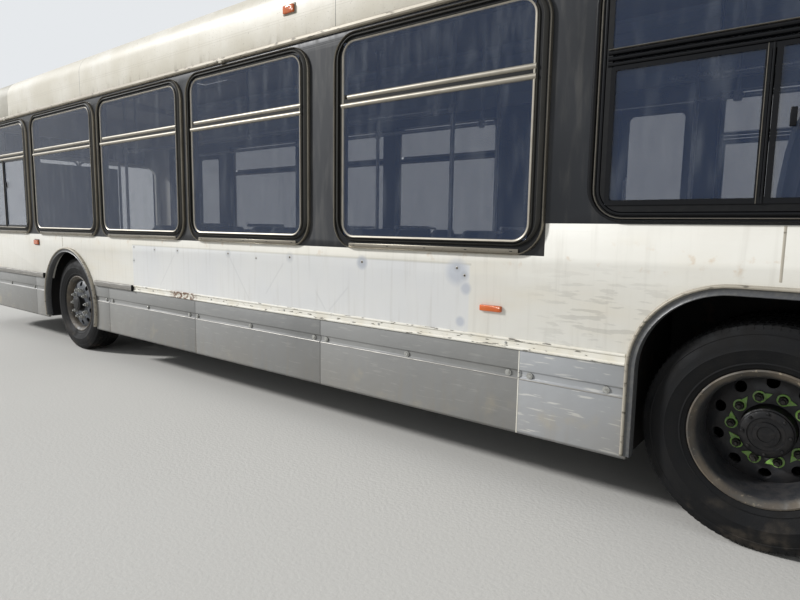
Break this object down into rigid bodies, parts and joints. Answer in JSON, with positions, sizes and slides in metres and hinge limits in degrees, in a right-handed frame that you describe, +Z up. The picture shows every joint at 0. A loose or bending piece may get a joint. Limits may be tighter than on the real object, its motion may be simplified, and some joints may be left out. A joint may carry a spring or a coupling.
{
  "type": "low-floor city bus",
  "caption": "Forty-foot low-floor city bus with street-side windows, door leaves on the other side, turning and steering wheels, an engine door and roof hatches.",
  "frame": {"origin": "on the ground, midway between the bumpers' faces and on the centre line", "axes": "+X forward, +Y to the bus's left, +Z up"},
  "size_m": [12.1997, 3.06, 3.0459],
  "materials": {
    "white_paint": "semi-gloss",
    "roof_paint": "semi-gloss",
    "cove_paint": "semi-gloss",
    "black_paint": "gloss",
    "grey_paint": "semi-gloss",
    "aluminium_trim": "satin",
    "glass": "polished",
    "rubber_trim": "matte",
    "lamp_lens": "polished",
    "red_lens": "gloss",
    "tyre_rubber": "matte",
    "steel_wheel": "dull",
    "chassis_steel": "matte",
    "cast_steel": "rough",
    "floor_covering": "matte",
    "interior_plastic": "matte",
    "seat_plastic": "satin",
    "stainless_tube": "satin",
    "spring_rubber": "matte"
  },
  "bodies": {
    "bus_body": {"air_springs": "spring_rubber", "arch_trims": "rubber_trim", "belt_panels": "white_paint", "cove_panels": "cove_paint", "dashboard": "interior_plastic", "destination_sign": "glass", "drip_rails": "aluminium_trim", "driver_partition": "interior_plastic", "driver_seat": "interior_plastic", "engine": "cast_steel", "floor_decks": "floor_covering", "front_axle": "chassis_steel", "front_bumper": "rubber_trim", "front_mask": "white_paint", "front_roof_cap": "roof_paint", "front_tow_eyes": "chassis_steel", "grab_poles": "stainless_tube", "headlamps": "lamp_lens", "intake_grilles": "black_paint", "mirrors": "interior_plastic", "passenger_seats": "seat_plastic", "rear_axle": "chassis_steel", "rear_bumper": "rubber_trim", "rear_mask": "white_paint", "rear_roof_cap": "roof_paint", "rear_tow_eyes": "chassis_steel", "roof": "roof_paint", "rub_rails": "white_paint", "skirt_panels": "grey_paint", "tail_lamps": "red_lens", "underframe": "chassis_steel", "wheel_housings": "chassis_steel", "window_bands": "black_paint", "window_frames": "aluminium_trim", "window_glass": "glass", "windshield": "glass"},
    "knuckle_left": {"knuckle_left": "chassis_steel"},
    "knuckle_right": {"knuckle_right": "chassis_steel"},
    "front_wheel_left": {"front_tyre_left": "tyre_rubber", "front_rim_left": "steel_wheel"},
    "front_wheel_right": {"front_tyre_right": "tyre_rubber", "front_rim_right": "steel_wheel"},
    "rear_wheels_left": {"rear_tyres_left": "tyre_rubber", "rear_rims_left": "steel_wheel"},
    "rear_wheels_right": {"rear_tyres_right": "tyre_rubber", "rear_rims_right": "steel_wheel"},
    "front_door_front_leaf": {"front_door_front_leaf": "black_paint"},
    "front_door_rear_leaf": {"front_door_rear_leaf": "black_paint"},
    "rear_door_front_leaf": {"rear_door_front_leaf": "black_paint"},
    "rear_door_rear_leaf": {"rear_door_rear_leaf": "black_paint"},
    "engine_door": {"engine_door": "white_paint"},
    "front_roof_hatch": {"front_roof_hatch": "roof_paint"},
    "rear_roof_hatch": {"rear_roof_hatch": "roof_paint"},
    "steering_wheel": {"steering_wheel": "interior_plastic"}
  },
  "joints": [
    {"name": "steer_left", "type": "hinge", "parent": "bus_body", "child": "knuckle_left", "pos_m": [3.3, 0.93, 0.485], "axis": [0, 0, 1], "range_deg": [-40, 40]},
    {"name": "steer_right", "type": "hinge", "parent": "bus_body", "child": "knuckle_right", "pos_m": [3.3, -0.93, 0.485], "axis": [0, 0, 1], "range_deg": [-40, 40]},
    {"name": "steering_wheel_turn", "type": "hinge", "parent": "bus_body", "child": "steering_wheel", "pos_m": [5.08, 0.7, 1.08], "axis": [-0.4695, 0, 0.8829], "range_deg": [-600, 600]},
    {"name": "front_wheel_roll_left", "type": "hinge", "parent": "knuckle_left", "child": "front_wheel_left", "pos_m": [3.3, 1.09, 0.485], "axis": [0, 1, 0], "continuous": true},
    {"name": "front_wheel_roll_right", "type": "hinge", "parent": "knuckle_right", "child": "front_wheel_right", "pos_m": [3.3, -1.09, 0.485], "axis": [0, 1, 0], "continuous": true},
    {"name": "rear_wheels_roll_left", "type": "hinge", "parent": "bus_body", "child": "rear_wheels_left", "pos_m": [-2.89, 0.925, 0.485], "axis": [0, 1, 0], "continuous": true},
    {"name": "rear_wheels_roll_right", "type": "hinge", "parent": "bus_body", "child": "rear_wheels_right", "pos_m": [-2.89, -0.925, 0.485], "axis": [0, 1, 0], "continuous": true},
    {"name": "front_door_front_leaf_swing", "type": "hinge", "parent": "bus_body", "child": "front_door_front_leaf", "pos_m": [5.444, -1.29, 1.35], "axis": [0, 0, 1], "range_deg": [0, 90]},
    {"name": "front_door_rear_leaf_swing", "type": "hinge", "parent": "bus_body", "child": "front_door_rear_leaf", "pos_m": [4.256, -1.29, 1.35], "axis": [0, 0, -1], "range_deg": [0, 90]},
    {"name": "rear_door_front_leaf_swing", "type": "hinge", "parent": "bus_body", "child": "rear_door_front_leaf", "pos_m": [-0.856, -1.29, 1.35], "axis": [0, 0, 1], "range_deg": [0, 90]},
    {"name": "rear_door_rear_leaf_swing", "type": "hinge", "parent": "bus_body", "child": "rear_door_rear_leaf", "pos_m": [-2.004, -1.29, 1.35], "axis": [0, 0, -1], "range_deg": [0, 90]},
    {"name": "engine_door_lift", "type": "hinge", "parent": "bus_body", "child": "engine_door", "pos_m": [-5.99, 0, 1.512], "axis": [0, 1, 0], "range_deg": [0, 80]},
    {"name": "front_roof_hatch_lift", "type": "hinge", "parent": "bus_body", "child": "front_roof_hatch", "pos_m": [3.24, 0, 2.996], "axis": [0, 1, 0], "range_deg": [0, 35]},
    {"name": "rear_roof_hatch_lift", "type": "hinge", "parent": "bus_body", "child": "rear_roof_hatch", "pos_m": [-2.86, 0, 2.996], "axis": [0, 1, 0], "range_deg": [0, 35]}
  ],
  "couplings": [
    {"joint": "steer_right", "follows": "steer_left", "ratio": 1},
    {"joint": "steering_wheel_turn", "follows": "steer_left", "ratio": 15},
    {"joint": "front_door_rear_leaf_swing", "follows": "front_door_front_leaf_swing", "ratio": 1},
    {"joint": "rear_door_rear_leaf_swing", "follows": "rear_door_front_leaf_swing", "ratio": 1}
  ]
}
